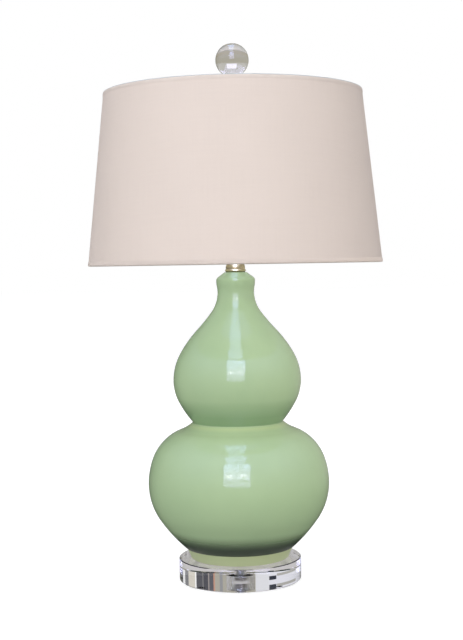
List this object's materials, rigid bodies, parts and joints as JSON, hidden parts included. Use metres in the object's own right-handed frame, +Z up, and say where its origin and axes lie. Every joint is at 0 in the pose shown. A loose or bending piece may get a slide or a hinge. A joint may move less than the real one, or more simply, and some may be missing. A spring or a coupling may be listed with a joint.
{
  "type": "double gourd table lamp",
  "caption": "Table lamp with a glazed double gourd body on a clear acrylic disc, brass neck, harp, tapered drum shade and ball finial.",
  "frame": {"origin": "centre of the lamp's foot, on the surface that it stands on", "axes": "+Z up along the lamp's axis, -Y towards the front, +X to the right seen from the front"},
  "size_m": [0.4074, 0.4074, 0.7454],
  "materials": {
    "clear_bumper": "clear soft pad",
    "clear_acrylic": "clear cast acrylic with polished edges",
    "zinc_steel": "zinc plated steel",
    "brass_hardware": "plain brass",
    "polished_brass": "polished and lacquered brass",
    "celadon_glaze": "glossy light celadon glaze, paler where it breaks over an edge",
    "grommet_plastic": "black nylon",
    "felt_gasket": "dark soft gasket",
    "socket_brass": "bright stamped brass",
    "socket_fibre": "grey brown fibre",
    "socket_phenolic": "black moulded phenolic",
    "contact_aluminium": "rolled aluminium",
    "knob_plastic": "black moulded knob",
    "bulb_insulator": "black vitrite",
    "frosted_glass": "frosted white glass",
    "harp_wire": "brass plated wire",
    "spider_wire": "cream enamelled wire",
    "shade_liner": "white styrene backing",
    "shade_linen": "off white linen",
    "shade_tape": "folded linen tape",
    "crystal": "clear crystal"
  },
  "bodies": {
    "base": {"base_bumpers": "clear_bumper", "base_disc": "clear_acrylic", "bottom_washer": "zinc_steel", "bottom_star_washer": "zinc_steel", "bottom_hex_nut": "brass_hardware", "lamp_pipe": "zinc_steel", "gourd_body": "celadon_glaze", "cord_grommet": "grommet_plastic", "neck_gasket": "felt_gasket", "brass_neck": "polished_brass", "harp_saddle": "brass_hardware", "neck_locknut": "brass_hardware", "socket_cap": "socket_brass", "cap_set_screw": "zinc_steel", "socket_shell": "socket_brass", "socket_fibre": "socket_fibre", "socket_core": "socket_phenolic", "terminal_screws": "brass_hardware", "screw_shell": "contact_aluminium", "centre_contact": "brass_hardware", "switch_bush": "brass_hardware"},
    "switch": {"switch_spindle": "brass_hardware", "switch_knob": "knob_plastic"},
    "bulb": {"bulb_tip": "zinc_steel", "bulb_insulator": "bulb_insulator", "bulb_base": "contact_aluminium", "bulb_glass": "frosted_glass"},
    "harp": {"harp_bow": "harp_wire"},
    "sleeve_left": {"harp_sleeve_left": "brass_hardware"},
    "sleeve_right": {"harp_sleeve_right": "brass_hardware"},
    "swivel": {"harp_swivel": "polished_brass"},
    "shade": {"shade_spider": "spider_wire", "shade_bottom_ring": "spider_wire", "shade_liner": "shade_liner", "shade_fabric": "shade_linen", "shade_top_trim": "shade_tape", "shade_bottom_trim": "shade_tape"},
    "finial": {"finial_base": "polished_brass", "finial_ball": "crystal"}
  },
  "joints": [
    {"name": "switch_turn", "type": "hinge", "parent": "base", "child": "switch", "pos_m": [0, -0.03, 0.486], "axis": [0, -1, 0], "continuous": true},
    {"name": "bulb_out", "type": "slide", "parent": "base", "child": "bulb", "axis": [0, 0, 1], "range_m": [0, 0.032]},
    {"name": "harp_lift", "type": "slide", "parent": "base", "child": "harp", "axis": [0, 0, 1], "range_m": [0, 0.15]},
    {"name": "sleeve_left_up", "type": "slide", "parent": "harp", "child": "sleeve_left", "axis": [0, 0, 1], "range_m": [0, 0.012]},
    {"name": "sleeve_right_up", "type": "slide", "parent": "harp", "child": "sleeve_right", "axis": [0, 0, 1], "range_m": [0, 0.012]},
    {"name": "swivel_turn", "type": "hinge", "parent": "harp", "child": "swivel", "pos_m": [0, 0, 0.664], "axis": [0, 0, 1], "continuous": true},
    {"name": "shade_lift", "type": "slide", "parent": "swivel", "child": "shade", "axis": [0, 0, 1], "range_m": [0, 0.26]},
    {"name": "finial_turn", "type": "hinge", "parent": "shade", "child": "finial", "pos_m": [0, 0, 0.69], "axis": [0, 0, 1], "continuous": true}
  ]
}
